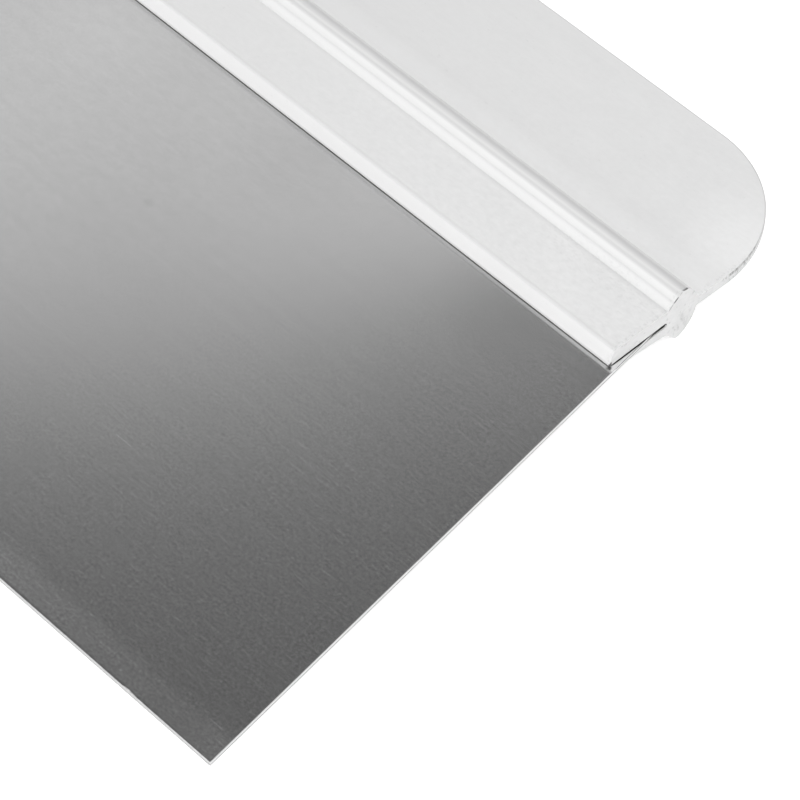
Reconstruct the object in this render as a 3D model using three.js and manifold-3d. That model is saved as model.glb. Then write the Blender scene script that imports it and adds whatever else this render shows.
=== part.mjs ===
// Wide smoothing spatula: a flared stainless blade bonded into an extruded aluminium handle.
// Millimetres, +Z up. X runs along the working edge, and the working edge faces -Y.
// Sections are drawn with Y from the mouth of the blade slot and Z from the roof of the slot.
// The blade and its slot lie level. The rest of the handle is drawn square to its grip plate and then turned
// down about the mouth by the pitch of the grip.
// The finished group is moved so that its origin is the middle of the footprint, at the lowest point.

import * as THREE from 'three';
import { mergeVertices } from 'three/addons/utils/BufferGeometryUtils.js';
import Module from 'manifold-3d';

const wasm = await Module();
wasm.setup();

// Blade
const workingEdge = 300; // length of the free edge
const exposedDepth = 80; // from the working edge to the mouth of the slot
const bladeThickness = 0.7;
const edgeBreak = 0.12; // ground chamfer along the working edge
const mouthOverhang = 0.8; // blade beyond each end of the handle, at the mouth

// Handle extrusion
const handleLength = 279.6;
const gripPitch = 3; // degrees that the grip plate is turned down from the plane of the blade
const gripDepth = 41; // from the mouth to the back of the grip plate
const gripCornerRadius = 18.6;

// Jaws and slot
const slotDepth = 10.8;
const seamGap = 0.18; // open gap between the blade and the upper jaw, which the bond fills further in
const noseHeight = 0.82; // upright tip of the upper jaw
const noseRun = 1; // length of the chamfer behind the tip
const noseTop = 2.64; // height of the upper jaw where the chamfer ends
const jawRootTop = 2.72; // height of the upper jaw at the foot of the bead
const lipSetback = 0.6; // tip of the lower jaw behind the mouth
const lipTip = 0.3; // thickness of the lower jaw at its tip
const lipRoot = 1.7; // thickness of the lower jaw at the back of the slot

// Bead: a round back with a ribbed front above the jaws and a lobe below them
const beadSetback = 0.7; // centre of the round back behind the slot
const beadCentreHeight = 0.55;
const beadRadius = 5;
const crestHeight = 4.92;
const crestRadius = 1;
const crestFrontAngle = 140; // where the crest ends and the ribs begin, in degrees from +Y
const ribSlope = 41; // degrees
const upperRibWidth = 1.26; // along the slope, whose rest is the lower rib
const ribRise = 0.12; // how far each rib bulges from the straight slope
const lobeDrop = 4.08; // lowest point of the lobe below the mouth of the slot, square to the plate
const lobeRadius = 0.9;
const lobeFrontAngle = 225; // where the lobe ends and runs up to the lower jaw, in degrees from +Y
const lobeFillet = 1.2; // hollow between the lobe and the lower jaw

// Grip plate
const plateTop = 1.39;
const plateThickness = 1.6;
const plateFillet = 0.4; // hollow where the plate leaves the bead
const plateEdgeRound = 0.3;

// Bond
const bladeBackGap = 0.2; // rear edge of the blade to the round back of the slot
const bondMouthInset = 2; // bond behind the mouth
const bondEndInset = 0.6; // bond in from each end of the handle
const bondBackInset = 0.6; // bond in front of the rear edge of the blade

// How round stretches are divided
const arcSteps = 8;
const cornerSteps = 16;
const cutterMargin = 5; // how far cutting bodies reach past what they cut

// Values that follow
const slotHeight = bladeThickness + seamGap;
const slotBackRadius = slotHeight / 2;
const slotBackY = slotDepth - slotBackRadius; // where the round back of the slot begins
const slotFloor = -slotHeight;
const bladeTop = slotFloor + bladeThickness;
const bladeBack = slotBackY - bladeBackGap;
const beadY = slotDepth + beadSetback;
const beadZ = beadCentreHeight;
const plateBottom = plateTop - plateThickness;

const rad = THREE.MathUtils.degToRad;
const tau = Math.PI * 2;

// A point at a distance and an angle from a centre
function polar(y, z, radius, angle) {
  return new THREE.Vector2(y + radius * Math.cos(angle), z + radius * Math.sin(angle));
}

// Extrudes a section drawn in Y and Z along X, centred on X = 0
function extrudeAlongX(section, length) {
  const geometry = new THREE.ExtrudeGeometry(section, {
    depth: length,
    bevelEnabled: false,
    curveSegments: arcSteps,
  });
  geometry.translate(0, 0, -length / 2);
  const toRow = new THREE.Matrix4().makeBasis(
    new THREE.Vector3(0, 1, 0),
    new THREE.Vector3(0, 0, 1),
    new THREE.Vector3(1, 0, 0),
  );
  return geometry.applyMatrix4(toRow);
}

// Turns what is drawn square to the grip plate into the frame of the level blade
function pitchGrip(geometry) {
  return geometry.rotateX(-rad(gripPitch));
}

// Extrudes an outline drawn in X and Y from one height to another
function extrudeUpright(outline, bottom, top) {
  const geometry = new THREE.ExtrudeGeometry(outline, {
    depth: top - bottom,
    bevelEnabled: false,
    curveSegments: cornerSteps,
  });
  return geometry.translate(0, 0, bottom);
}

function toSolid(geometry) {
  const bare = geometry.clone();
  bare.deleteAttribute('normal');
  bare.deleteAttribute('uv');
  const merged = mergeVertices(bare, 1e-5);
  return new wasm.Manifold(new wasm.Mesh({
    numProp: 3,
    vertProperties: new Float32Array(merged.attributes.position.array),
    triVerts: new Uint32Array(merged.index.array),
  }));
}

function toGeometry(solid) {
  const mesh = solid.getMesh();
  const geometry = new THREE.BufferGeometry();
  geometry.setAttribute('position', new THREE.BufferAttribute(mesh.vertProperties, mesh.numProp));
  geometry.setIndex(new THREE.BufferAttribute(mesh.triVerts, 1));
  geometry.computeVertexNormals();
  return geometry;
}

// Adds the two ribs to the section: shallow bulges, one after the other, from the crest down to the jaw
function addRibs(section, from, to) {
  const along = to.clone().sub(from).normalize();
  const outward = new THREE.Vector2(along.y, -along.x);
  const joint = from.clone().addScaledVector(along, upperRibWidth);
  for (const [start, end] of [[from, joint], [joint, to]]) {
    const control = start.clone().add(end).multiplyScalar(0.5).addScaledVector(outward, 2 * ribRise);
    section.quadraticCurveTo(control.x, control.y, end.x, end.y);
  }
}

// Round hollow of a given radius where the plate meets the round back, above (+1) or below (-1) the plate
function plateHollow(face, side) {
  const z = face + side * plateFillet;
  const reach = beadRadius + plateFillet;
  const y = beadY + Math.sqrt(reach ** 2 - (z - beadZ) ** 2);
  return { y, z, angle: Math.atan2(z - beadZ, y - beadY) };
}

// Outline of the extrusion, square to its grip plate and still without the slot
function handleSection() {
  // The slot stays level with the blade, so in this section its floor climbs by the pitch of the grip
  const slotFloorAt = (y) => slotFloor / Math.cos(rad(gripPitch)) + y * Math.tan(rad(gripPitch));
  const lipUnder = (y) => {
    const share = (y - lipSetback) / (slotDepth - lipSetback);
    return slotFloorAt(y) - lipTip - (lipRoot - lipTip) * share;
  };
  const lipSlope = Math.atan2(lipUnder(lipSetback) - lipUnder(slotDepth), slotDepth - lipSetback);

  // Crest of the bead, inside the round back and touching it
  const crestZ = crestHeight - crestRadius;
  const crestAngle = Math.asin((crestZ - beadZ) / (beadRadius - crestRadius));
  const crestY = beadY + (beadRadius - crestRadius) * Math.cos(crestAngle);
  const crestFront = polar(crestY, crestZ, crestRadius, rad(crestFrontAngle));
  const ribRun = (crestFront.y - jawRootTop) / Math.tan(rad(ribSlope));
  const ribFoot = new THREE.Vector2(crestFront.x - ribRun, jawRootTop);

  // Lobe under the bead, inside the round back and touching it
  const lobeZ = lobeRadius - lobeDrop;
  const lobeAngle = Math.asin((lobeZ - beadZ) / (beadRadius - lobeRadius));
  const lobeY = beadY + (beadRadius - lobeRadius) * Math.cos(lobeAngle);
  const lobeFront = polar(lobeY, lobeZ, lobeRadius, rad(lobeFrontAngle));

  // Hollow between the lobe's front face and the underside of the lower jaw
  const faceAngle = rad(lobeFrontAngle) - Math.PI / 2;
  const faceOut = polar(0, 0, 1, rad(lobeFrontAngle));
  const lipOut = polar(0, 0, 1, -Math.PI / 2 - lipSlope);
  const onFace = lobeFront.dot(faceOut) + lobeFillet;
  const onLip = new THREE.Vector2(lipSetback, lipUnder(lipSetback)).dot(lipOut) + lobeFillet;
  const cross = faceOut.x * lipOut.y - faceOut.y * lipOut.x;
  const hollowY = (onFace * lipOut.y - onLip * faceOut.y) / cross;
  const hollowZ = (onLip * faceOut.x - onFace * lipOut.x) / cross;

  const upper = plateHollow(plateTop, 1);
  const lower = plateHollow(plateBottom, -1);
  const plateEnd = gripDepth - plateEdgeRound;

  const section = new THREE.Shape();
  section.moveTo(0, noseHeight);
  section.lineTo(0, -slotHeight / 2);
  section.lineTo(lipSetback, -slotHeight / 2);
  section.lineTo(lipSetback, lipUnder(lipSetback));
  section.absarc(hollowY, hollowZ, lobeFillet, Math.PI / 2 - lipSlope, faceAngle - Math.PI / 2, true);
  section.absarc(lobeY, lobeZ, lobeRadius, rad(lobeFrontAngle), tau + lobeAngle, false);
  section.absarc(beadY, beadZ, beadRadius, lobeAngle, lower.angle, false);
  section.absarc(lower.y, lower.z, plateFillet, Math.PI + lower.angle, Math.PI / 2, true);
  section.absarc(plateEnd, plateBottom + plateEdgeRound, plateEdgeRound, -Math.PI / 2, 0, false);
  section.absarc(plateEnd, plateTop - plateEdgeRound, plateEdgeRound, 0, Math.PI / 2, false);
  section.absarc(upper.y, upper.z, plateFillet, -Math.PI / 2, upper.angle - Math.PI, true);
  section.absarc(beadY, beadZ, beadRadius, upper.angle, crestAngle, false);
  section.absarc(crestY, crestZ, crestRadius, crestAngle, rad(crestFrontAngle), false);
  addRibs(section, crestFront, ribFoot);
  section.lineTo(noseRun, noseTop);
  section.closePath();
  return section;
}

// What is cut away outside the round corner of the grip, at the +X end (side 1) or the -X end (side -1)
function cornerCutter(side) {
  const end = side * handleLength / 2;
  const outside = end + side * cutterMargin;
  const centreX = end - side * gripCornerRadius;
  const centreY = gripDepth - gripCornerRadius;
  const startAngle = side > 0 ? 0 : Math.PI;
  const outline = new THREE.Shape();
  outline.moveTo(end, centreY);
  outline.absarc(centreX, centreY, gripCornerRadius, startAngle, Math.PI / 2, side < 0);
  outline.lineTo(centreX, gripDepth + cutterMargin);
  outline.lineTo(outside, gripDepth + cutterMargin);
  outline.lineTo(outside, centreY);
  outline.closePath();
  const cutter = extrudeUpright(outline, -lobeDrop - cutterMargin, crestHeight + cutterMargin);
  return toSolid(pitchGrip(cutter));
}

// The slot for the blade, open at the mouth and at both ends, with a round back
function slotCutter() {
  const section = new THREE.Shape();
  section.moveTo(-cutterMargin, slotFloor);
  section.lineTo(slotBackY, slotFloor);
  section.absarc(slotBackY, slotFloor + slotBackRadius, slotBackRadius, -Math.PI / 2, Math.PI / 2, false);
  section.lineTo(-cutterMargin, 0);
  section.closePath();
  return toSolid(extrudeAlongX(section, handleLength + 2 * cutterMargin));
}

function handleGeometry() {
  const sawn = toSolid(pitchGrip(extrudeAlongX(handleSection(), handleLength)));
  const rounded = sawn.subtract(cornerCutter(1)).subtract(cornerCutter(-1));
  return toGeometry(rounded.subtract(slotCutter()));
}

function bladeGeometry() {
  const section = new THREE.Shape();
  section.moveTo(bladeBack, slotFloor);
  section.lineTo(bladeBack, bladeTop);
  section.lineTo(-exposedDepth + edgeBreak, bladeTop);
  section.lineTo(-exposedDepth, bladeTop - edgeBreak);
  section.lineTo(-exposedDepth, slotFloor + edgeBreak);
  section.lineTo(-exposedDepth + edgeBreak, slotFloor);
  section.closePath();

  // The sides run straight from the working edge through the mouth to the rear edge
  const halfMouth = handleLength / 2 + mouthOverhang;
  const flare = (workingEdge / 2 - halfMouth) / exposedDepth;
  const halfWidth = (y) => halfMouth - flare * y;
  const front = -exposedDepth - cutterMargin;
  const back = bladeBack + cutterMargin;
  const outline = new THREE.Shape();
  outline.moveTo(-halfWidth(front), front);
  outline.lineTo(halfWidth(front), front);
  outline.lineTo(halfWidth(back), back);
  outline.lineTo(-halfWidth(back), back);
  outline.closePath();

  const strip = extrudeAlongX(section, 2 * Math.max(halfWidth(front), halfWidth(back)) + cutterMargin);
  const plan = extrudeUpright(outline, slotFloor - cutterMargin, bladeTop + cutterMargin);
  return toGeometry(toSolid(strip).intersect(toSolid(plan)));
}

function bondGeometry() {
  const section = new THREE.Shape();
  section.moveTo(bondMouthInset, bladeTop);
  section.lineTo(bladeBack - bondBackInset, bladeTop);
  section.lineTo(bladeBack - bondBackInset, 0);
  section.lineTo(bondMouthInset, 0);
  section.closePath();
  return extrudeAlongX(section, handleLength - 2 * bondEndInset);
}

function piece(name, geometry, look) {
  const mesh = new THREE.Mesh(geometry, new THREE.MeshStandardMaterial(look));
  mesh.name = name;
  return mesh;
}

const spatula = new THREE.Group();
spatula.add(
  piece('handle_profile', handleGeometry(), { color: 0xe6e7e8, roughness: 0.45, metalness: 0.9 }),
  piece('blade', bladeGeometry(), { color: 0xa8a8a8, roughness: 0.32, metalness: 1 }),
  piece('bond_film', bondGeometry(), { color: 0x3a3a38, roughness: 0.7, metalness: 0 }),
);

const box = new THREE.Box3().setFromObject(spatula);
spatula.position.set(0, -(box.min.y + box.max.y) / 2, -box.min.z);

export default spatula;
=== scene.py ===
import math
from types import SimpleNamespace

import bmesh
import bpy
from mathutils import Matrix, Vector


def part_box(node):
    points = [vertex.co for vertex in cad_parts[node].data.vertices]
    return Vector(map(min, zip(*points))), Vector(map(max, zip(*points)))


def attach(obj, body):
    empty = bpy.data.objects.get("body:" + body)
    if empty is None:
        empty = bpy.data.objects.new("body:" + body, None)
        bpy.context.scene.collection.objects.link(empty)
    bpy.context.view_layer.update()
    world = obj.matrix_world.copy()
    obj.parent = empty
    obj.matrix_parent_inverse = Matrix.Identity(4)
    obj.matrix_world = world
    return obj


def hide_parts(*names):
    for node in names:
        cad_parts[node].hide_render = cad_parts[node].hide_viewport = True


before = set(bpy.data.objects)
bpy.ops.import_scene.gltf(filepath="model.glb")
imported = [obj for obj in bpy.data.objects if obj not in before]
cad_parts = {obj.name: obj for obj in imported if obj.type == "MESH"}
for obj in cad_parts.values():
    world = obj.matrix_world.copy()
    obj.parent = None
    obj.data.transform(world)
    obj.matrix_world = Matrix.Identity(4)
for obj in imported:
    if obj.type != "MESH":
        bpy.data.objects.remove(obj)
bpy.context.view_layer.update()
mm = 0.001
slack = 0.01  # mm, for telling places apart
weldDistance = 0.002 * mm
noiseBand = (0.3, 0.7)  # where most values of a soft noise lie
wideBand = (0.25, 0.75)
print("frame loaded:", sorted(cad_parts))

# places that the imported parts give
bladeLow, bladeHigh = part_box("blade")
handleLow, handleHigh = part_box("handle_profile")
bondLow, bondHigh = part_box("bond_film")
mouthY = handleLow.y  # mouth of the blade slot
roofZ = bondHigh.z  # roof of the slot
floorZ = bladeLow.z  # floor of the slot, under the blade
handleEnd = handleHigh.x
bladeThickness = bladeHigh.z - bladeLow.z


# small helpers: lengths in mm to places in metres

def metres(values):
    return [value * mm for value in values]


def behindMouth(runs):
    return [mouthY + run * mm for run in runs]


def pastEnd(runs):
    return [handleEnd + run * mm for run in runs]


# small helpers for node trees

def newMaterial(name, metallic=0.0, roughness=0.5):
    material = bpy.data.materials.new(name)
    material.use_nodes = True
    tree = material.node_tree
    shader = tree.nodes["Principled BSDF"]
    shader.inputs["Metallic"].default_value = metallic
    shader.inputs["Roughness"].default_value = roughness
    return material, tree, shader


def addNode(tree, kind, **settings):
    node = tree.nodes.new(kind)
    for key, value in settings.items():
        setattr(node, key, value)
    return node


def objectCoords(tree):
    return addNode(tree, "ShaderNodeTexCoord").outputs["Object"]


def objectParts(tree):
    parts = addNode(tree, "ShaderNodeSeparateXYZ")
    tree.links.new(objectCoords(tree), parts.inputs["Vector"])
    return parts.outputs


def noise(tree, stretch, detail=2.0, roughness=0.5, offset=(0, 0, 0)):
    # the stretch is the number of waves in a metre along each axis
    mapping = addNode(tree, "ShaderNodeMapping")
    mapping.inputs["Scale"].default_value = stretch
    mapping.inputs["Location"].default_value = offset
    tree.links.new(objectCoords(tree), mapping.inputs["Vector"])
    node = addNode(tree, "ShaderNodeTexNoise")
    node.inputs["Scale"].default_value = 1.0
    node.inputs["Detail"].default_value = detail
    node.inputs["Roughness"].default_value = roughness
    tree.links.new(mapping.outputs["Vector"], node.inputs["Vector"])
    return node.outputs["Fac"]


def mapped(tree, value, fromMin, fromMax, toMin, toMax, smooth=False, clamp=True):
    node = addNode(tree, "ShaderNodeMapRange", clamp=clamp)
    node.interpolation_type = "SMOOTHSTEP" if smooth else "LINEAR"
    node.inputs["From Min"].default_value = fromMin
    node.inputs["From Max"].default_value = fromMax
    node.inputs["To Min"].default_value = toMin
    node.inputs["To Max"].default_value = toMax
    tree.links.new(value, node.inputs["Value"])
    return node.outputs["Result"]


def picked(tree, value, band):
    # 0 below the band, 1 above it
    return mapped(tree, value, *band, 0, 1, smooth=True)


def toned(tree, share, tone):
    # the tone where the share is 1, nothing changed where it is 0
    return mapped(tree, share, 0, 1, 1, tone)


def varied(tree, value, spread, band=noiseBand):
    return mapped(tree, value, *band, 1 - spread, 1 + spread)


def maths(tree, operation, first, second=0):
    node = addNode(tree, "ShaderNodeMath", operation=operation)
    for socket, value in zip(node.inputs, (first, second)):
        if isinstance(value, (int, float)):
            socket.default_value = value
        else:
            tree.links.new(value, socket)
    return node.outputs["Value"]


def product(tree, *values):
    result = values[0]
    for value in values[1:]:
        result = maths(tree, "MULTIPLY", result, value)
    return result


def shaded(tree, colour, factor):
    node = addNode(tree, "ShaderNodeVectorMath", operation="SCALE")
    node.inputs[0].default_value = colour
    tree.links.new(factor, node.inputs["Scale"])
    return node.outputs["Vector"]


def bumped(tree, height, distance):
    node = addNode(tree, "ShaderNodeBump")
    node.inputs["Strength"].default_value = 1.0
    node.inputs["Distance"].default_value = distance
    tree.links.new(height, node.inputs["Height"])
    return node.outputs["Normal"]


def spot(tree, centre, reach, slope=0.0, start=0.55):
    # 1 at the centre, fading to 0 at the given reach along each axis, turned up about X by the slope
    mapping = addNode(tree, "ShaderNodeMapping", vector_type="TEXTURE")
    mapping.inputs["Location"].default_value = centre
    mapping.inputs["Rotation"].default_value = (math.radians(slope), 0, 0)
    mapping.inputs["Scale"].default_value = reach
    tree.links.new(objectCoords(tree), mapping.inputs["Vector"])
    length = addNode(tree, "ShaderNodeVectorMath", operation="LENGTH")
    tree.links.new(mapping.outputs["Vector"], length.inputs[0])
    return mapped(tree, length.outputs["Value"], start, 1.0, 1, 0, smooth=True)


# small helpers for meshes

def ofKind(items, kind):
    return [item for item in items if isinstance(item, kind)]


def lineTo(bm, vert, point):
    drawn = bmesh.ops.extrude_vert_indiv(bm, verts=[vert])["verts"][0]
    drawn.co = point
    return drawn


def finished(bm, name, body, materials, sharpAngle):
    mesh = bpy.data.meshes.new(name)
    bm.to_mesh(mesh)
    bm.free()
    mesh.shade_smooth()
    mesh.set_sharp_from_angle(angle=math.radians(sharpAngle))
    for material in materials:
        mesh.materials.append(material)
    piece = bpy.data.objects.new(name, mesh)
    bpy.context.scene.collection.objects.link(piece)
    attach(piece, body)
    return piece


def evenNormals(piece):
    even = piece.modifiers.new("evenNormals", "WEIGHTED_NORMAL")
    even.keep_sharp = True


# satin extruded aluminium

aluminium = {
    "colour": (0.88, 0.88, 0.88),
    "metallic": 0.25,
    "roughness": 0.42,
    "roughSpread": 0.02,
    "dieLines": 0.006,  # how far the lengthwise die lines lighten and darken
    "dieLineDepth": 0.001,
    "mottle": 0.010,
    "jawGrain": 0.035,
    "plateGrain": 0.015,
    "grainSplit": (11.0, 13.0),  # behind the mouth, between the jaw and the plate
    "grainGrowth": (0.5, 1.6),  # away from the ends and close to them
    "paintedShadeTone": 0.78,  # what is left of the colour where the painted shade is full, as in the grooves beside the ribs; below 0 the layer paints light
    "speckTone": 0.95,
    "speckBand": (0.72, 0.80),
    "scuffTone": 0.95,
    "scuffBand": (0.53, 0.63),
    "scuffCentre": (128.5, 29.0, 7.0),  # scuffs on the jaw, near the end of the handle
    "scuffReach": (15.0, 3.2, 3.0),
    "nickDepth": 0.28,  # bruised edges at the sawn end, darkened as the painted shade of their burrs: how far along the handle
    "nicks": (  # place, slope, half length, half width and tone
        (12.27, 3.84, 38.0, 0.72, 0.20, 0.16),
        (13.95, 4.72, -14.0, 0.72, 0.20, 0.16),
        (11.35, 3.02, 46.0, 0.75, 0.11, 0.50),
        (13.10, 4.45, 38.0, 0.45, 0.11, 0.60),
        (0.15, 0.15, 70.0, 0.60, 0.32, 0.15),
    ),
    "farShadeTones": (0.935, 1.02),  # painted light and shade: jaw and plate grow slightly darker away from the ends
    "farReach": (60.0, 140.0),
    "endTone": 0.89,  # crumbs along the sawn edges
    "endReach": (-1.2, -0.2),
    "endBand": (0.52, 0.62),
    "cornerHighlightTone": 1.10,  # painted highlight: paler metal at the grip corner
    "cornerHighlightCentre": (138.5, 48.0, 4.7),
    "cornerHighlightReach": (14.0, 13.0, 6.0),
}


# the painted shade of burrs along the sawn end's edges
def nickShades(tree):
    tones = []
    for y, z, slope, long, wide, tone in aluminium["nicks"]:
        place = gripPoint(y, z)
        place.x = handleEnd
        reach = metres((aluminium["nickDepth"], long, wide))
        tones.append(toned(tree, spot(tree, place, reach, slope - handle["gripPitch"]), tone))
    return product(tree, *tones)


def aluminiumSatin():
    a = aluminium
    material, tree, shader = newMaterial("aluminium_satin", a["metallic"])
    lines = noise(tree, stretch=(6, 2600, 2600), detail=3.0, roughness=0.6)
    clouds = noise(tree, stretch=(150, 220, 220), detail=3.0, roughness=0.55)
    grains = noise(tree, stretch=(1100, 1900, 1900), detail=1.0)
    scratches = noise(tree, stretch=(1500, 3000, 3000), roughness=0.6, offset=(3, 1, 2))
    crumbs = noise(tree, stretch=(2600, 2600, 2600), roughness=0.6, offset=(5, 2, 1))
    frost = noise(tree, stretch=(900, 1500, 1500), detail=3.0, roughness=0.65, offset=(8, 1, 6))
    paintedShading = addNode(tree, "ShaderNodeAttribute", attribute_name="paintedShading").outputs["Fac"]
    flat = addNode(tree, "ShaderNodeAttribute", attribute_name="flat").outputs["Fac"]
    place = objectParts(tree)
    along = maths(tree, "ABSOLUTE", place["X"])
    scuffed = spot(tree, metres(a["scuffCentre"]), metres(a["scuffReach"]))
    scuffs = product(tree, scuffed, picked(tree, scratches, a["scuffBand"]))
    farShade = mapped(tree, along, *metres(a["farReach"]), *[tone - 1 for tone in a["farShadeTones"]])
    crumbled = product(
        tree, picked(tree, along, pastEnd(a["endReach"])), picked(tree, crumbs, a["endBand"]),
    )
    frosted = product(
        tree, flat, mapped(tree, frost, *wideBand, -1, 1),
        mapped(tree, along, *metres(a["farReach"]), *a["grainGrowth"]),
        mapped(tree, place["Y"], *behindMouth(a["grainSplit"]), a["jawGrain"], a["plateGrain"]),
    )
    cornerHighlight = spot(tree, metres(a["cornerHighlightCentre"]), metres(a["cornerHighlightReach"]), start=0.0)
    tone = product(
        tree,
        varied(tree, lines, a["dieLines"]),
        varied(tree, clouds, a["mottle"]),
        maths(tree, "ADD", frosted, 1),
        mapped(tree, grains, *a["speckBand"], 1, a["speckTone"], smooth=True),
        toned(tree, scuffs, a["scuffTone"]),
        # painted shade and painted light from the handle's shading layer
        mapped(tree, paintedShading, 0, 1, 1, a["paintedShadeTone"], clamp=False),
        # painted highlight at the grip corner
        toned(tree, cornerHighlight, a["cornerHighlightTone"]),
        # painted light and shade along the jaw and the plate
        maths(tree, "ADD", product(tree, flat, farShade), 1),
        toned(tree, crumbled, a["endTone"]),
        nickShades(tree),
    )
    tree.links.new(shaded(tree, a["colour"], tone), shader.inputs["Base Color"])
    low, high = a["roughness"] - a["roughSpread"], a["roughness"] + a["roughSpread"]
    tree.links.new(mapped(tree, clouds, *noiseBand, low, high), shader.inputs["Roughness"])
    tree.links.new(bumped(tree, lines, a["dieLineDepth"] * mm), shader.inputs["Normal"])
    return material


# the sawn ends of the extrusion and the cut grip corners

sawnEnd = {
    "colour": (0.73, 0.73, 0.73),
    "metallic": 0.25,
    "roughness": 0.5,
    "depth": 0.02,
    "pitTone": 0.84,
    "pitBand": (0.60, 0.72),
    "teeth": 0.03,
    "mottle": 0.03,
    "plateStart": (22.0, 23.5),  # behind the mouth
    "lineTone": 0.74,  # dark line along the upper edge of the cut plate
    "lineRise": (-0.65, -0.35),  # from the plate's upper face
    "burrTone": 0.55,  # crumbled stretch of that edge, at the start of the grip corner
    "burrBand": (0.52, 0.60),
    "burrRise": (-1.2, -0.5),
    "burrShares": (0.4, 1.0),
    "burrCentre": (139.2, 45.0, 4.6),
    "burrReach": (4.0, 5.0, 3.0),
    "scarTone": 0.86,  # coarser pits beside the lobe
    "scarBand": (0.48, 0.66),
    "scarPlace": (14.2, -1.6),
    "scarReach": (1.0, 2.6, 2.6),
}


def aluminiumSawn():
    s = sawnEnd
    material, tree, shader = newMaterial("aluminium_sawn", s["metallic"], s["roughness"])
    teeth = noise(tree, stretch=(400, 900, 5200), roughness=0.6)
    spots = noise(tree, stretch=(1500, 1500, 1500))
    crumbs = noise(tree, stretch=(2600, 2600, 1700), roughness=0.6, offset=(5, 2, 1))
    coarse = noise(tree, stretch=(1100, 1100, 800), roughness=0.6, offset=(2, 6, 4))
    clouds = noise(tree, stretch=(600, 600, 600))
    place = objectParts(tree)
    turn = math.radians(handle["gripPitch"])
    rise = maths(
        tree, "ADD",
        product(tree, maths(tree, "SUBTRACT", place["Y"], mouthY), math.sin(turn)),
        product(tree, maths(tree, "SUBTRACT", place["Z"], roofZ), math.cos(turn)),
    )
    lineLow, lineHigh = [(handle["plateTop"] + z) * mm for z in s["lineRise"]]
    burrLow, burrHigh = [(handle["plateTop"] + z) * mm for z in s["burrRise"]]
    line = product(
        tree, mapped(tree, place["Y"], *behindMouth(s["plateStart"]), 0, 1),
        picked(tree, rise, (lineLow, lineHigh)),
    )
    burr = product(
        tree, spot(tree, metres(s["burrCentre"]), metres(s["burrReach"])),
        mapped(tree, rise, burrLow, burrHigh, *s["burrShares"]), picked(tree, crumbs, s["burrBand"]),
    )
    scar = gripPoint(*s["scarPlace"])
    scar.x = handleEnd
    scarred = product(tree, spot(tree, scar, metres(s["scarReach"])), picked(tree, coarse, s["scarBand"]))
    tone = product(
        tree,
        varied(tree, teeth, s["teeth"]),
        varied(tree, clouds, s["mottle"]),
        mapped(tree, spots, *s["pitBand"], 1, s["pitTone"], smooth=True),
        toned(tree, line, s["lineTone"]),
        toned(tree, burr, s["burrTone"]),
        toned(tree, scarred, s["scarTone"]),
        nickShades(tree),
    )
    tree.links.new(shaded(tree, s["colour"], tone), shader.inputs["Base Color"])
    tree.links.new(bumped(tree, tone, s["depth"] * mm), shader.inputs["Normal"])
    return material


# the slot's walls, painted dark as the shade deep inside the slot but for a narrow strip at each end

slotWall = {
    "roughness": 0.6,
    # painted shade, near black, deep inside the slot
    "deepShade": 0.03,
    "mottle": 0.1,
    "mouthTone": 0.9,  # less painted shade just inside the mouth
    "mouthReach": (0.3, 1.0),
    # a strip without painted shade on the low part of the walls near the sawn end
    "litStripEnd": (-0.30, -0.15),  # from the sawn end
    "litStripRise": (0.3, 0.4),  # above the slot's floor
}


def aluminiumSlotShaded():
    w = slotWall
    material, tree, shader = newMaterial("aluminium_slot_shaded", roughness=w["roughness"])
    lumps = noise(tree, stretch=(500, 500, 500))
    place = objectParts(tree)
    litStripLow, litStripHigh = [floorZ + rise * mm for rise in w["litStripRise"]]
    # no painted shade low in the slot near the sawn end
    litStrip = product(
        tree, picked(tree, maths(tree, "ABSOLUTE", place["X"]), pastEnd(w["litStripEnd"])),
        mapped(tree, place["Z"], litStripLow, litStripHigh, 1, 0),
    )
    # painted shade deep in the slot, lighter just inside the mouth
    deepShade = mapped(tree, place["Y"], *behindMouth(w["mouthReach"]), w["mouthTone"], w["deepShade"])
    tone = product(
        tree, maths(tree, "MAXIMUM", litStrip, deepShade), varied(tree, lumps, w["mottle"]), nickShades(tree),
    )
    tree.links.new(shaded(tree, aluminium["colour"], tone), shader.inputs["Base Color"])
    return material


# the handle extrusion, drawn square to its grip plate and turned down about the mouth

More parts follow.
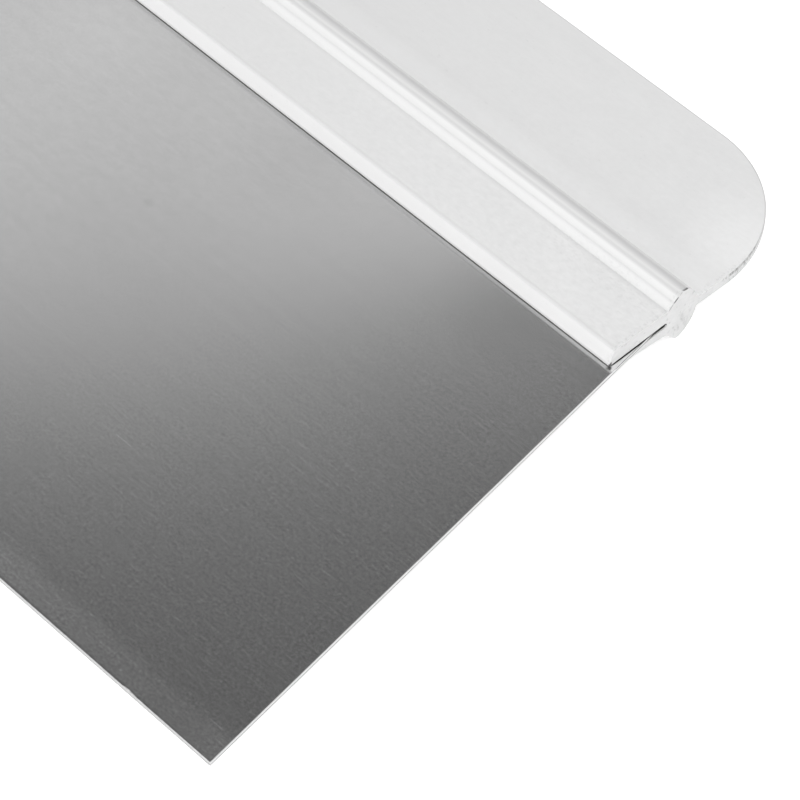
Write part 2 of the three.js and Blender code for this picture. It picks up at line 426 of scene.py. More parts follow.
handle = {
    "gripPitch": 3.0,  # degrees
    "gripDepth": 41.0,
    "cornerRadius": 18.6,
    "cornerSteps": 40,
    "slotDepth": 10.8,
    "noseHeight": 0.5,
    "noseRun": 0.9,
    "noseTop": 2.64,
    "jawRootTop": 2.72,
    "lipSetback": 0.6,
    "lipTip": 0.3,
    "lipRoot": 1.7,
    "beadSetback": 0.7,
    "beadHeight": 0.55,
    "beadRadius": 5.0,
    "crestHeight": 4.92,
    "crestRadius": 1.0,
    "crestFront": 140.0,  # degrees
    "ribSlope": 41.0,
    "upperRibWidth": 1.39,
    "ribRise": 0.12,
    "lobeDrop": 4.08,
    "lobeRadius": 0.9,
    "lobeFront": 225.0,
    "lobeFillet": 1.2,
    "plateTop": 1.39,
    "plateThickness": 1.6,
    "plateFillet": 0.4,
    "plateEdgeRound": 0.3,
    "ridgeRun": 0.4,  # rounded ridge between the nose and the jaw
    # the shades below are painted into the handle's colour: above 0 they paint shade, below 0 they paint
    # light
    "ridgeShade": (1.0, 0.45),  # painted shade along the ridge: shade and reach
    "noseShades": ((0, 0.6), (0.5, -0.38), (2.3, -0.24)),  # height above the mouth and shade: painted shade at the foot of the nose, painted light on the chamfer
    "grooves": ((1.25, 0.85), (0.68, 0.65), (0.62, 0.85)),  # painted shade at the grooves: shade and reach, from the crest down to the jaw
    # painted shade over the ribs
    "ribShade": 0.45,
    # painted shade along the back of the bead: run behind the crest and shade
    "backShades": ((-0.5, 0.85), (0, 0.75), (0.5, 1.0), (1.2, 0.2), (2.1, 0.6)),
    # painted shade over the plate
    "plateShade": 0.1,
    "footPaintedLight": 0.55,  # painted light on the plate along the foot of the bead
    "footRuns": (4.5, 1.5, 0.45),
    # painted light in the fillet along the bead's foot
    "filletShade": -1.1,
    "filletReach": (-0.3, 0.05),  # from the fillet's end on the plate
    # painted shade on the rounded rear edge of the plate
    "rimShade": 1.0,
    "arcStep": 5.0,  # degrees for each step of an arc
    "leastSteps": 3,
    "edgeBreak": 0.05,
    "breakSteps": 2,
    "sharpAngle": 25.0,
    "cutFacing": (0.1, 0.6),  # least of a cut face's normal along X, and most of it along Z
    "slotWallRuns": (1.0, 0.1),  # behind the mouth, and past the slot's back
}


def gripPoint(y, z):
    turn = math.radians(handle["gripPitch"])
    across = y * math.cos(turn) + z * math.sin(turn)
    up = z * math.cos(turn) - y * math.sin(turn)
    return Vector((-handleEnd, mouthY + across * mm, roofZ + up * mm))


def gripDepthOf(point):
    turn = math.radians(handle["gripPitch"])
    across = (point.y - mouthY) / mm
    up = (point.z - roofZ) / mm
    return across * math.cos(turn) - up * math.sin(turn)


def polar(centre, radius, angle):
    turn = math.radians(angle)
    return centre[0] + radius * math.cos(turn), centre[1] + radius * math.sin(turn)


def arcTo(bm, vert, centre, radius, start, end):
    first = lineTo(bm, vert, gripPoint(*polar(centre, radius, start)))
    steps = max(handle["leastSteps"], math.ceil(abs(end - start) / handle["arcStep"]))
    swept = bmesh.ops.spin(
        bm, geom=[first], cent=gripPoint(*centre), axis=(1, 0, 0),
        angle=math.radians(end - start), steps=steps,
    )
    return ofKind(swept["geom_last"], bmesh.types.BMVert)[0]


def ribTo(bm, vert, start, end):
    # a shallow bulge above the straight slope from start to end
    chord = math.dist(start, end)
    rise = handle["ribRise"]
    radius = (chord ** 2 / 4 + rise ** 2) / (2 * rise)
    slope = math.degrees(math.atan2(end[1] - start[1], end[0] - start[0]))
    half = math.degrees(math.asin(chord / 2 / radius))
    middle = ((start[0] + end[0]) / 2, (start[1] + end[1]) / 2)
    centre = polar(middle, radius - rise, slope + 90)
    return arcTo(bm, vert, centre, radius, slope - 90 - half, slope - 90 + half)


def between(pairs, place):
    # straight-line values between the given places
    for (start, low), (end, high) in zip(pairs, pairs[1:]):
        if place <= end:
            return low + (high - low) * max(0, (place - start) / (end - start))
    return pairs[-1][1]


def handleSection():
    # centres, angles and joints of the section, in mm behind the mouth and above the slot's roof
    h = handle
    s = SimpleNamespace()
    pitch = math.radians(h["gripPitch"])
    slotHeight = (roofZ - floorZ) / mm
    s.bead = (h["slotDepth"] + h["beadSetback"], h["beadHeight"])

    def slotFloorAt(y):
        return -slotHeight / math.cos(pitch) + y * math.tan(pitch)

    def lipUnder(y):
        share = (y - h["lipSetback"]) / (h["slotDepth"] - h["lipSetback"])
        return slotFloorAt(y) - h["lipTip"] - (h["lipRoot"] - h["lipTip"]) * share

    def insideBead(radius, z):
        # a round that lies inside the bead and touches it
        inner = h["beadRadius"] - radius
        angle = math.degrees(math.asin((z - s.bead[1]) / inner))
        return polar(s.bead, inner, angle), angle

    def plateHollow(face, side):
        z = face + side * h["plateFillet"]
        y = s.bead[0] + math.sqrt((h["beadRadius"] + h["plateFillet"]) ** 2 - (z - s.bead[1]) ** 2)
        return (y, z), math.degrees(math.atan2(z - s.bead[1], y - s.bead[0]))

    s.crest, s.crestAngle = insideBead(h["crestRadius"], h["crestHeight"] - h["crestRadius"])
    s.lobe, s.lobeAngle = insideBead(h["lobeRadius"], h["lobeRadius"] - h["lobeDrop"])
    s.plateBottom = h["plateTop"] - h["plateThickness"]
    s.plateEnd = h["gripDepth"] - h["plateEdgeRound"]
    s.upper, s.upperAngle = plateHollow(h["plateTop"], 1)
    s.lower, s.lowerAngle = plateHollow(s.plateBottom, -1)

    # hollow between the lobe's front face and the underside of the lower jaw
    s.lipHeights = (slotFloorAt(h["lipSetback"]), lipUnder(h["lipSetback"]))
    lipDrop = s.lipHeights[1] - lipUnder(h["slotDepth"])
    s.lipSlope = math.degrees(math.atan2(lipDrop, h["slotDepth"] - h["lipSetback"]))
    faceOut = Vector(polar((0, 0), 1, h["lobeFront"]))
    lipOut = Vector(polar((0, 0), 1, -90 - s.lipSlope))
    onFace = Vector(polar(s.lobe, h["lobeRadius"], h["lobeFront"])).dot(faceOut) + h["lobeFillet"]
    onLip = Vector((h["lipSetback"], s.lipHeights[1])).dot(lipOut) + h["lobeFillet"]
    cross = faceOut.x * lipOut.y - faceOut.y * lipOut.x
    s.hollow = (
        (onFace * lipOut.y - onLip * faceOut.y) / cross,
        (onLip * faceOut.x - onFace * lipOut.x) / cross,
    )

    # the slot stays level, so its round back is turned up in this section
    s.slotRadius = slotHeight / 2
    slotBack = h["slotDepth"] - s.slotRadius
    s.slotCentre = (
        slotBack * math.cos(pitch) + s.slotRadius * math.sin(pitch),
        slotBack * math.sin(pitch) - s.slotRadius * math.cos(pitch),
    )

    # ribs from the crest down to the jaw, and the ridge between the jaw and the nose
    crestFront = polar(s.crest, h["crestRadius"], h["crestFront"])
    fall = crestFront[1] - h["jawRootTop"]
    run = fall / math.tan(math.radians(h["ribSlope"]))
    share = h["upperRibWidth"] / math.hypot(fall, run)
    s.joints = [(crestFront[0] - run * part, crestFront[1] - fall * part) for part in (0, share, 1)]
    s.jawRoot = s.joints[-1][0] - h["grooves"][-1][1]
    s.jawSlope = math.degrees(math.atan2(h["jawRootTop"] - h["noseTop"], s.jawRoot - h["noseRun"]))
    s.noseSlope = math.degrees(math.atan2(h["noseTop"] - h["noseHeight"], h["noseRun"]))
    s.ridgeRadius = h["ridgeRun"] / math.tan(math.radians(s.noseSlope - s.jawSlope) / 2)
    s.jawEnd = polar((h["noseRun"], h["noseTop"]), h["ridgeRun"], s.jawSlope)
    s.ridge = polar(s.jawEnd, s.ridgeRadius, s.jawSlope - 90)
    return s


def drawSection(bm, s):
    h = handle
    edgeRound = h["plateEdgeRound"]
    first = bm.verts.new(gripPoint(0, h["noseHeight"]))
    at = lineTo(bm, first, gripPoint(0, 0))
    at = arcTo(bm, at, s.slotCentre, s.slotRadius, 90 + h["gripPitch"], -90 + h["gripPitch"])
    for z in s.lipHeights:
        at = lineTo(bm, at, gripPoint(h["lipSetback"], z))
    at = arcTo(bm, at, s.hollow, h["lobeFillet"], 90 - s.lipSlope, h["lobeFront"] - 180)
    at = arcTo(bm, at, s.lobe, h["lobeRadius"], h["lobeFront"], 360 + s.lobeAngle)
    at = arcTo(bm, at, s.bead, h["beadRadius"], s.lobeAngle, s.lowerAngle)
    at = arcTo(bm, at, s.lower, h["plateFillet"], 180 + s.lowerAngle, 90)
    at = arcTo(bm, at, (s.plateEnd, s.plateBottom + edgeRound), edgeRound, -90, 0)
    at = arcTo(bm, at, (s.plateEnd, h["plateTop"] - edgeRound), edgeRound, 0, 90)
    for run in h["footRuns"]:
        at = lineTo(bm, at, gripPoint(s.upper[0] + run, h["plateTop"]))
    at = arcTo(bm, at, s.upper, h["plateFillet"], -90, s.upperAngle - 180)
    at = arcTo(bm, at, s.bead, h["beadRadius"], s.upperAngle, s.crestAngle)
    at = arcTo(bm, at, s.crest, h["crestRadius"], s.crestAngle, h["crestFront"])
    for start, end in zip(s.joints, s.joints[1:]):
        at = ribTo(bm, at, start, end)
    at = lineTo(bm, at, gripPoint(s.jawRoot, h["jawRootTop"]))
    at = lineTo(bm, at, gripPoint(*polar(s.jawEnd, h["ridgeRun"] / 2, s.jawSlope)))
    at = arcTo(bm, at, s.ridge, s.ridgeRadius, s.jawSlope + 90, s.noseSlope + 90)
    lineTo(bm, at, first.co)
    bmesh.ops.remove_doubles(bm, verts=bm.verts, dist=weldDistance)


def shadeSection(bm, s, paintedShading, flat):
    # the shading layer darkens the metal as painted shade and lightens it as painted light, and the flat
    # layer marks the jaw and the plate
    h = handle
    ridgeTop = polar(s.ridge, s.ridgeRadius, 90 + (s.jawSlope + s.noseSlope) / 2)
    for place, (shade, reach) in zip((*s.joints, ridgeTop), (*h["grooves"], h["ridgeShade"])):
        for vert in bm.verts:
            near = max(0, 1 - (vert.co - gripPoint(*place)).length / (reach * mm))
            vert[paintedShading] = max(vert[paintedShading], shade * near * near * (3 - 2 * near))
    noseEnd = polar(s.ridge, s.ridgeRadius, s.noseSlope + 90)[0]
    filletStart, filletEnd = [s.upper[0] + run for run in h["filletReach"]]
    for vert in bm.verts:
        deep = gripDepthOf(vert.co)
        if deep < noseEnd + slack and vert.co.z > roofZ - slack * mm:
            vert[paintedShading] = between(h["noseShades"], (vert.co.z - roofZ) / mm)
        if vert.co.z < gripPoint(deep, h["plateTop"] - h["plateEdgeRound"] / 2).z:
            continue
        if s.jawEnd[0] - slack < deep < s.jawRoot + slack:
            vert[flat] = 1
        elif s.joints[-1][0] < deep < s.joints[0][0]:
            vert[paintedShading] = max(vert[paintedShading], h["ribShade"])
        elif s.joints[0][0] < deep < filletStart:
            vert[paintedShading] = max(vert[paintedShading], between(h["backShades"], deep - s.crest[0]))
        elif filletStart <= deep < s.plateEnd + slack:
            nearFoot = 1 - min(1, (deep - s.upper[0]) / h["footRuns"][0])
            vert[paintedShading] = h["plateShade"] - h["footPaintedLight"] * nearFoot
            if deep < filletEnd:
                vert[paintedShading] = h["filletShade"]
            vert[flat] = 1
        elif deep > s.plateEnd:
            vert[paintedShading] = h["rimShade"]


def extrudeHandle(bm):
    # from one sawn end to the other, with the grip corners drawn in along a quarter circle
    h = handle
    radius = h["cornerRadius"]
    turns = [math.radians(90 * step / h["cornerSteps"]) for step in range(h["cornerSteps"] + 1)]
    rounding = [(radius * (1 - math.cos(turn)), radius * (1 - math.sin(turn))) for turn in turns]
    length = 2 * handleEnd / mm
    stations = rounding + [(length - along, back) for along, back in reversed(rounding)]
    plateMiddle = h["gripDepth"] - radius - 2 * h["plateEdgeRound"]
    inward = (gripPoint(-1, 0) - gripPoint(0, 0)) * radius

    def drawIn(cap, share):
        rim = [vert for vert in cap.verts if gripDepthOf(vert.co) > plateMiddle]
        bmesh.ops.translate(bm, verts=rim, vec=inward * share)

    cap = bmesh.ops.contextual_create(bm, geom=bm.edges)["faces"][0]
    drawIn(cap, 1)
    for (along, back), (nextAlong, nextBack) in zip(stations, stations[1:]):
        grown = bmesh.ops.extrude_face_region(bm, geom=[cap])["geom"]
        old = cap
        cap = ofKind(grown, bmesh.types.BMFace)[0]
        if old.is_valid and along > 0:
            bmesh.ops.delete(bm, geom=[old], context="FACES_ONLY")
        bmesh.ops.translate(bm, verts=cap.verts, vec=((nextAlong - along) * mm, 0, 0))
        drawIn(cap, (nextBack - back) / radius)
    bmesh.ops.recalc_face_normals(bm, faces=bm.faces)


def makeHandle(satin, sawn, slotShadedMetal):
    h = handle
    bm = bmesh.new()
    # per-vertex painted shade and painted light
    paintedShading = bm.verts.layers.float.new("paintedShading")
    flat = bm.verts.layers.float.new("flat")
    section = handleSection()
    drawSection(bm, section)
    shadeSection(bm, section, paintedShading, flat)
    extrudeHandle(bm)
    ends = sorted(bm.faces, key=lambda face: len(face.verts))[-2:]
    endEdges = [edge for edge in bm.edges if any(face in ends for face in edge.link_faces)]
    bmesh.ops.bevel(
        bm, geom=endEdges, offset=h["edgeBreak"] * mm, affect="EDGES", segments=h["breakSteps"], profile=0.5,
        material=-1, clamp_overlap=True,
    )
    slotStart, slotPast = h["slotWallRuns"]
    slotEnd = h["slotDepth"] + slotPast
    slotMiddle = (roofZ + floorZ) / 2
    slotReach = (roofZ - floorZ) / 2 + slack * mm
    leastX, mostZ = h["cutFacing"]
    for face in bm.faces:
        middle = face.calc_center_median()
        inSlot = slotStart < (middle.y - mouthY) / mm < slotEnd and abs(middle.z - slotMiddle) < slotReach
        cut = abs(face.normal.x) > leastX and abs(face.normal.z) < mostZ
        face.material_index = 1 if cut else 2 if inSlot else 0
    piece = finished(bm, "handle_profile_finished", "root", [satin, sawn, slotShadedMetal], h["sharpAngle"])
    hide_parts("handle_profile")
    evenNormals(piece)
    return piece


# brushed stainless sheet

steel = {
    "colour": (0.58, 0.58, 0.58),
    "tabReflectionTone": 1.6,  # painted reflection of the sawn end on the blade beside the end of the handle
    "tabSide": (-0.1, 0.1),
    "tabStart": (-0.4, -0.2),
    "endLineTone": 0.10,  # dark line on the blade along that end
    "endLineReach": (0.07, 0.20),
    "endLineStart": (0.5, 2.2),
    "roughness": 0.191,
    "groundRoughness": 0.222,
    "groundWidth": 4.4,  # ground band along the working edge
    "groundBlend": 1.0,
    "groundWander": 0.5,
    "hairTone": 0.015,
    "hairRough": 0.05,
    "hairDepth": 0.0008,
    "streakTone": 0.008,
    "mouthReach": 35.0,  # smoother, slightly darker and hazier towards the mouth
    "mouthShare": 0.72,
    "mouthTone": 0.91,
    "mouthMetal": 0.89,
    "patchTone": 0.007,
    "cloudTone": 0.018,  # soft clouds in the far part
    "cloudReach": (60.0, 95.0),
    "grainFar": 0.022,  # speckle, coarser towards the corner of the working edge
    "grainNear": 0.17,
    "grainLean": (0.85, 0.55),
    "grainReach": (90.0, 135.0),
    "grainClumps": 0.4,
    "strokeTone": 0.035,  # short brush marks, in the same part
    "dashTone": 0.08,
    "dashBand": (0.62, 0.74),
    "speckTone": 1.25,  # bright specks on the ground band
    "speckBand": (0.70, 0.76),
    "speckFade": 2.0,
    "marks": (  # paler and duller places, a smudge and a dab of adhesive: place, reach and tone
        (140.0, 13.5, 26.0, 1.10), (149.5, -60.0, 9.0, 1.13), (48.0, 13.0, 14.0, 1.045),
        (122.7, 17.0, 13.0, 0.91), (85.0, 16.0, 14.0, 0.95), (75.0, -3.5, 32.0, 0.95),
        (76.0, -4.5, 1.2, 0.94), (139.85, 19.3, 0.55, 0.25),
    ),
    "scratches": (  # middle, half length along X, half width and strength; the last is a chip in the hone
        (104.5, -34.32, 1.7, 0.09, 0.20), (104.3, -34.32, 8.6, 0.09, 0.06), (146.2, -56.0, 1.8, 0.09, 0.14),
        (134.9, -60.45, 1.6, 0.24, 0.90),
    ),
    "scratchHeight": 0.5,
    "scratchBand": (0.4, 0.6),
    "scratchShares": (0.5, 1.0),
}


def steelBrushed():
    st = steel
    material, tree, shader = newMaterial("steel_brushed")
    hairs = noise(tree, stretch=(160, 5200, 5200), detail=3.0, roughness=0.65)
    streaks = noise(tree, stretch=(14, 900, 900))
    grains = noise(tree, stretch=(2000, 2600, 2600), roughness=0.6)
    clumps = noise(tree, stretch=(260, 420, 420), offset=(1, 4, 2))
    patches = noise(tree, stretch=(110, 240, 240), offset=(6, 2, 5))
    clouds = noise(tree, stretch=(500, 800, 800), offset=(3, 7, 4))
    strokes = noise(tree, stretch=(300, 2600, 2600), detail=1.0, offset=(9, 5, 3))
    chips = noise(tree, stretch=(900, 1300, 1300), detail=1.0, offset=(7, 3, 0))
    place = objectParts(tree)
    depth = place["Y"]
    out = maths(tree, "ABSOLUTE", place["X"])
    bandEnd = bladeLow.y + st["groundWidth"] * mm

    def towardsMouth(value):
        return mapped(tree, depth, mouthY - st["mouthReach"] * mm, mouthY, 1, value)

    # painted reflection of the sawn end
    tabReflection = product(
        tree, mapped(tree, out, *pastEnd(st["tabSide"]), 0, 1),
        mapped(tree, depth, *behindMouth(st["tabStart"]), 0, 1),
    )
    endLine = product(
        tree, mapped(tree, out, *pastEnd(st["endLineReach"]), 1, 0),
        mapped(tree, depth, *behindMouth(st["endLineStart"]), 0, 1),
    )
    leanOut, leanFront = st["grainLean"]
    towards = maths(tree, "SUBTRACT", product(tree, out, leanOut), product(tree, depth, leanFront))
    nearer = mapped(tree, towards, *metres(st["grainReach"]), 0, 1)
    speckle = product(
        tree, mapped(tree, grains, *wideBand, -1, 1), varied(tree, clumps, st["grainClumps"]),
        mapped(tree, nearer, 0, 1, st["grainFar"], st["grainNear"]),
    )
    clouded = product(
        tree, mapped(tree, clouds, *noiseBand, -st["cloudTone"], st["cloudTone"]),
        mapped(tree, towards, *metres(st["cloudReach"]), 1, 0),
    )
    brushed = product(tree, nearer, mapped(tree, strokes, *noiseBand, -st["strokeTone"], st["strokeTone"]))
    dashes = product(tree, nearer, picked(tree, strokes, st["dashBand"]))
    specks = product(
        tree, picked(tree, chips, st["speckBand"]),
        mapped(tree, depth, bandEnd, bandEnd + st["speckFade"] * mm, 1, 0),
    )
    marks = []
    for x, y, reach, markTone in st["marks"]:
        mark = spot(tree, (x * mm, y * mm, bladeHigh.z), [reach * mm] * 3, start=0.0)
        marks.append(toned(tree, mark, markTone))
    tone = product(
        tree, *marks,
        varied(tree, hairs, st["hairTone"], wideBand),
        varied(tree, streaks, st["streakTone"]),
        maths(tree, "ADD", maths(tree, "ADD", speckle, brushed), 1),
        maths(tree, "ADD", clouded, 1),
        toned(tree, dashes, 1 + st["dashTone"]),
        toned(tree, tabReflection, st["tabReflectionTone"]),
        toned(tree, endLine, st["endLineTone"]),
        varied(tree, patches, st["patchTone"]),
        towardsMouth(st["mouthTone"]),
        toned(tree, specks, st["speckTone"]),
    )
    tree.links.new(shaded(tree, st["colour"], tone), shader.inputs["Base Color"])
    whole = towardsMouth(st["mouthMetal"])
    for x, y, half, width, strength in st["scratches"]:
        mark = spot(tree, (x * mm, y * mm, bladeHigh.z), metres((half, width, st["scratchHeight"])))
        broken = product(tree, mark, mapped(tree, grains, *st["scratchBand"], *st["scratchShares"]))
        whole = maths(tree, "SUBTRACT", whole, product(tree, broken, strength))
    tree.links.new(whole, shader.inputs["Metallic"])
    wander = st["groundWander"] * mm
    blend = st["groundBlend"] * mm
    wandered = maths(tree, "ADD", depth, mapped(tree, streaks, *noiseBand, -wander, wander))
    ground = mapped(
        tree, wandered, bandEnd - blend, bandEnd + blend, st["groundRoughness"], st["roughness"], smooth=True,
    )
    rough = product(
        tree, ground, varied(tree, hairs, st["hairRough"], wideBand), towardsMouth(st["mouthShare"]),
    )
    tree.links.new(rough, shader.inputs["Roughness"])
    tree.links.new(bumped(tree, hairs, st["hairDepth"] * mm), shader.inputs["Normal"])
    return material


# the sheared sides and the ground front of the sheet

shearedEdge = {
    "sideColour": (0.74, 0.74, 0.74),
    "frontColour": (0.58, 0.58, 0.58),
    "metallic": 0.4,
    "roughness": 0.4,
    "mottle": 0.05,
    "lowerTone": 0.18,  # dark line along the lower arris, partly the sheared edge's rough zone and partly painted shade
    "lowerBand": (0.204, 0.34),  # shares of the thickness
    # dark line along the upper arris, partly the sheared edge's rough zone and partly painted shade
    "upperTone": 0.35,
    "upperBand": (0.90, 0.95),
    "slotShadeTone": 0.28,  # painted shade over the upper part inside the slot
    "slotShadeBand": (0.66, 0.72),
    "slotShadeStart": (-0.2, 0.8),
    "slotShadeLead": -0.5,  # pushes the painted shade off the edge in front of its start
    "rearShadeTone": 0.05,  # and over all of the rear corner
    "rearStart": (7.0, 8.4),
}


def steelEdge(name, colour):
    e = shearedEdge
    material, tree, shader = newMaterial(name, e["metallic"], e["roughness"])
    grains = noise(tree, stretch=(900, 900, 2500), roughness=0.6)
    place = objectParts(tree)
    share = mapped(tree, place["Z"], bladeLow.z, bladeHigh.z, 0, 1)
    # painted shade on the edge inside the slot and at its rear corner
    starting = mapped(tree, place["Y"], *behindMouth(e["slotShadeStart"]), e["slotShadeLead"], 0)
    slotShadeShare = maths(tree, "ADD", share, starting)
    tone = product(
        tree,
        mapped(tree, share, *e["lowerBand"], e["lowerTone"], 1, smooth=True),
        mapped(tree, share, *e["upperBand"], 1, e["upperTone"], smooth=True),
        mapped(tree, slotShadeShare, *e["slotShadeBand"], 1, e["slotShadeTone"], smooth=True),
        mapped(tree, place["Y"], *behindMouth(e["rearStart"]), 1, e["rearShadeTone"]),
        varied(tree, grains, e["mottle"]),
    )
    tree.links.new(shaded(tree, colour, tone), shader.inputs["Base Color"])
    return material


# the blade, a flat sheet whose sides flare out to the working edge

blade = {
    "mouthOverhang": 0.8,
    "edgeBreak": 0.12,
    "edgeSteps": 3,
    "sideBreak": 0.05,
    "sideSteps": 2,
    "sideAngle": 60.0,
    "honeWidth": 0.45,  # narrow honed strip at the working edge
    "honeDrop": 0.05,
    "sharpAngle": 32.0,
    "edgeFacing": 0.6,  # most of an edge face's normal along Z
    "frontFacing": -0.5,
}


def makeBlade(brushed, side, front):
    b = blade
    halfMouth = handleEnd + b["mouthOverhang"] * mm
    flare = (bladeHigh.x - halfMouth) / (mouthY - bladeLow.y)
    halfBack = halfMouth - flare * (bladeHigh.y - mouthY)
    corners = (
        (-bladeHigh.x, bladeLow.y), (bladeHigh.x, bladeLow.y),
        (halfBack, bladeHigh.y), (-halfBack, bladeHigh.y),
    )

    def onFront(vert):
        return vert.co.y < bladeLow.y + slack * mm

    bm = bmesh.new()
    sheet = bm.faces.new([bm.verts.new((x, y, bladeLow.z)) for x, y in corners])
    grown = bmesh.ops.extrude_face_region(bm, geom=[sheet])["geom"]
    bmesh.ops.translate(bm, verts=ofKind(grown, bmesh.types.BMVert), vec=(0, 0, bladeThickness))
    bmesh.ops.recalc_face_normals(bm, faces=bm.faces)
    bmesh.ops.bisect_plane(
        bm, geom=bm.verts[:] + bm.edges[:] + bm.faces[:], dist=weldDistance / 2,
        plane_co=(0, bladeLow.y + b["honeWidth"] * mm, 0), plane_no=(0, 1, 0),
    )
    lip = [vert for vert in bm.verts if onFront(vert) and vert.co.z > bladeLow.z + bladeThickness / 2]
    bmesh.ops.translate(bm, verts=lip, vec=(0, 0, -b["honeDrop"] * mm))
    frontEdges = [edge for edge in bm.edges if all(onFront(vert) for vert in edge.verts)]
    longEdges = [edge for edge in frontEdges if edge.calc_length() > bladeThickness]
    bmesh.ops.bevel(
        bm, geom=longEdges, offset=b["edgeBreak"] * mm, affect="EDGES", segments=b["edgeSteps"], profile=0.5,
        material=-1,
    )
    for face in bm.faces:
        if abs(face.normal.z) < b["edgeFacing"]:
            face.material_index = 2 if face.normal.y < b["frontFacing"] else 1
    piece = finished(bm, "blade_brushed", "root", [brushed, side, front], b["sharpAngle"])
    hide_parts("blade")
    soft = piece.modifiers.new("softEdges", "BEVEL")
    soft.width = b["sideBreak"] * mm
    soft.segments = b["sideSteps"]
    soft.limit_method = "ANGLE"
    soft.angle_limit = math.radians(b["sideAngle"])
    evenNormals(piece)
    return piece


# the cured adhesive, over the blade and behind its rear edge; its near-black colour is also painted shade in
# the seam at the sawn end

bond = {
    "colour": (0.05, 0.05, 0.048),
    "roughness": 0.7,
    "lumpTone": 0.2,
    "lumpDepth": 0.05,
    "clearance": 0.02,
    "backSteps": 10,
    "sharpAngle": 32.0,
}


def bondCured():
    material, tree, shader = newMaterial("bond_cured", roughness=bond["roughness"])
    lumps = noise(tree, stretch=(700, 700, 700), detail=3.0, roughness=0.6)
    tone = varied(tree, lumps, bond["lumpTone"])
    tree.links.new(shaded(tree, bond["colour"], tone), shader.inputs["Base Color"])
    tree.links.new(bumped(tree, lumps, bond["lumpDepth"] * mm), shader.inputs["Normal"])
    return material


def makeBond(cured):
    end = -bondHigh.x
    slotRadius = (roofZ - floorZ) / 2
    centre = Vector((end, mouthY + handle["slotDepth"] * mm - slotRadius, floorZ + slotRadius))
    gap = bond["clearance"] * mm
    bm = bmesh.new()
    first = bm.verts.new((end, bondLow.y, bladeHigh.z))
    at = lineTo(bm, first, (end, bladeHigh.y, bladeHigh.z))
    at = lineTo(bm, at, (end, bladeHigh.y, floorZ + gap))
    at = lineTo(bm, at, centre - Vector((0, 0, slotRadius - gap)))
    swept = bmesh.ops.spin(bm, geom=[at], cent=centre, axis=(1, 0, 0), angle=math.pi, steps=bond["backSteps"])
    at = ofKind(swept["geom_last"], bmesh.types.BMVert)[0]
    at = lineTo(bm, at, (end, bondLow.y, roofZ - gap))
    lineTo(bm, at, first.co)
    bmesh.ops.remove_doubles(bm, verts=bm.verts, dist=weldDistance)
    bed = bmesh.ops.contextual_create(bm, geom=bm.edges)["faces"][0]
    grown = bmesh.ops.extrude_face_region(bm, geom=[bed])["geom"]
    bmesh.ops.translate(bm, verts=ofKind(grown, bmesh.types.BMVert), vec=(2 * bondHigh.x, 0, 0))
    bmesh.ops.recalc_face_normals(bm, faces=bm.faces)
    piece = finished(bm, "bond_bed", "root", [cured], bond["sharpAngle"])
    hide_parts("bond_film")
    return piece


# the studio: camera, lamps, floor and sky

studio = {
    "azimuth": 47.286,  # degrees round from the front of the blade
    "elevation": 50.703,
    "roll": -1.202,
    "distance": 0.61822,  # metres
    "focalPixels": 4735.7,
    "imageSide": 800,
    "sensor": 36.0,
    "clipStart": 0.01,
    "aimFromEnd": 15.171,  # mm in from the handle's end
    "aimFromMouth": 23.476,  # mm in front of the mouth
}
backSoftbox = {
    "azimuth": 237.5,
    "elevation": 36.9,
    "roll": -11.3,
    "distance": 1.0,
    "width": 0.738,
    "height": 0.428,
    "radiance": 0.836,
}
rightFill = {
    "azimuth": 70.0,
    "elevation": 66.0,
    "roll": 0.0,
    "distance": 0.36,
    "width": 0.22,
    "height": 0.22,
    "radiance": 0.8,
}
floorSheet = {
    "halfSide": 6.0,  # metres
    "lobeRun": 1.7,  # mm from the bead's middle back to the lowest line of the lobe
    "gap": 0.02,  # mm under the part
    "level": 0.86,
    "roughness": 0.9,
    "glow": 0.45,  # seen by the camera and mirrored by the metal
}
sky = {
    "front": (0.10, -0.30, 0.95),  # the brighter side
    "frontLevel": 1.45,
    "backLevel": 0.0,
    "holeAzimuth": 228.0,  # the dark part that the blade mirrors
    "holeElevation": 48.0,
    "holeFull": 28.0,  # degrees from its middle where it is full and where it ends
    "holeEnd": 42.0,
    "holeLevel": 0.143,
}


def direction(azimuth, elevation):
    around, above = math.radians(azimuth), math.radians(elevation)
    return Vector((math.sin(around) * math.cos(above), -math.cos(around) * math.cos(above), math.sin(above)))


def setFacing(thing, aim, setting):
    # round and above the aim at the setting's distance, looking at it
    around, roll = math.radians(setting["azimuth"]), math.radians(setting["roll"])
    back = direction(setting["azimuth"], setting["elevation"])
    level = Vector((math.cos(around), math.sin(around), 0))
    upright = back.cross(level)
    right = level * math.cos(roll) + upright * math.sin(roll)
    up = upright * math.cos(roll) - level * math.sin(roll)
    place = Matrix((right, up, back)).transposed().to_4x4()
    place.translation = aim + back * setting["distance"]
    thing.matrix_world = place
    bpy.context.scene.collection.objects.link(thing)


def makeCamera(aim):
    data = bpy.data.cameras.new("camera")
    data.sensor_width = studio["sensor"]
    data.lens = studio["focalPixels"] * studio["sensor"] / studio["imageSide"]
    data.clip_start = studio["clipStart"]
    camera = bpy.data.objects.new("camera", data)
    setFacing(camera, aim, studio)
    bpy.context.scene.camera = camera


def makeSoftbox(name, aim, box):
    data = bpy.data.lights.new(name, "AREA")
    data.shape = "ELLIPSE"
    data.size = box["width"]
    data.size_y = box["height"]
    # radiance times pi times the area of the ellipse
    data.energy = box["radiance"] * math.pi * math.pi * box["width"] * box["height"] / 4
    setFacing(bpy.data.objects.new(name, data), aim, box)


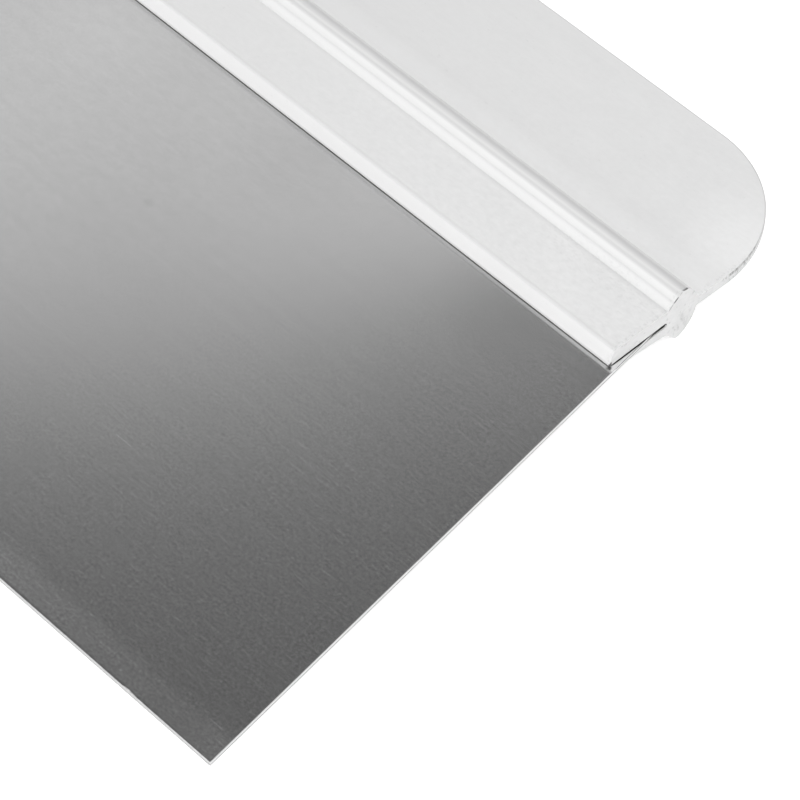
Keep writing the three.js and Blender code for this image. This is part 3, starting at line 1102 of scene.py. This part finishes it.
def makeFloor():
    # the floor meets the lobe under the bead and the working edge
    f = floorSheet
    lobeY = mouthY + (handle["slotDepth"] + handle["beadSetback"] + f["lobeRun"]) * mm
    tilt = math.atan2(bladeLow.z, lobeY - bladeLow.y)
    data = bpy.data.meshes.new("floor")
    bm = bmesh.new()
    bmesh.ops.create_grid(bm, x_segments=1, y_segments=1, size=f["halfSide"])
    bmesh.ops.rotate(bm, verts=bm.verts, cent=(0, 0, 0), matrix=Matrix.Rotation(-tilt, 3, "X"))
    bmesh.ops.translate(bm, verts=bm.verts, vec=(0, 0, lobeY * math.tan(tilt) - f["gap"] * mm))
    bm.to_mesh(data)
    bm.free()
    floor = bpy.data.objects.new("floor", data)
    bpy.context.scene.collection.objects.link(floor)
    material, tree, shader = newMaterial("floor_white", roughness=f["roughness"])
    shader.inputs["Base Color"].default_value = (f["level"], f["level"], f["level"], 1)
    shader.inputs["Specular IOR Level"].default_value = 0.0
    shader.inputs["Emission Color"].default_value = (1, 1, 1, 1)
    path = addNode(tree, "ShaderNodeLightPath")
    seen = maths(tree, "MAXIMUM", path.outputs["Is Camera Ray"], path.outputs["Is Glossy Ray"])
    seen = maths(tree, "MAXIMUM", seen, path.outputs["Is Transmission Ray"])
    tree.links.new(product(tree, seen, f["glow"]), shader.inputs["Emission Strength"])
    data.materials.append(material)


def makeWorld():
    world = bpy.data.worlds.new("studio")
    bpy.context.scene.world = world
    world.use_nodes = True
    tree = world.node_tree
    background = tree.nodes["Background"]
    background.inputs["Color"].default_value = (1, 1, 1, 1)
    coords = addNode(tree, "ShaderNodeTexCoord")

    def facing(way):
        # cosine of the angle to the given way
        node = addNode(tree, "ShaderNodeVectorMath", operation="DOT_PRODUCT")
        node.inputs[1].default_value = way
        tree.links.new(coords.outputs["Generated"], node.inputs[0])
        return node.outputs["Value"]

    lit = mapped(tree, facing(Vector(sky["front"]).normalized()), -1, 1, sky["backLevel"], sky["frontLevel"])
    hole = facing(direction(sky["holeAzimuth"], sky["holeElevation"]))
    dark = picked(tree, hole, [math.cos(math.radians(sky[key])) for key in ("holeEnd", "holeFull")])
    level = addNode(tree, "ShaderNodeMix")
    level.inputs["B"].default_value = sky["holeLevel"]
    tree.links.new(dark, level.inputs["Factor"])
    tree.links.new(lit, level.inputs["A"])
    tree.links.new(level.outputs["Result"], background.inputs["Strength"])


aim = Vector((handleEnd - studio["aimFromEnd"] * mm, mouthY - studio["aimFromMouth"] * mm, bladeHigh.z))
makeCamera(aim)
makeWorld()
makeSoftbox("backSoftbox", aim, backSoftbox)
makeSoftbox("rightFill", aim, rightFill)
makeFloor()
bpy.context.scene.view_settings.view_transform = "Standard"
print("studio, camera and floor made")

cured = bondCured()
handlePiece = makeHandle(aluminiumSatin(), aluminiumSawn(), aluminiumSlotShaded())
print("handle made:", len(handlePiece.data.polygons), "faces")
bladePiece = makeBlade(
    steelBrushed(), steelEdge("steel_sheared", shearedEdge["sideColour"]),
    steelEdge("steel_ground_edge", shearedEdge["frontColour"]),
)
print("blade made:", len(bladePiece.data.polygons), "faces")
bondPiece = makeBond(cured)
print("bond made:", len(bondPiece.data.polygons), "faces")
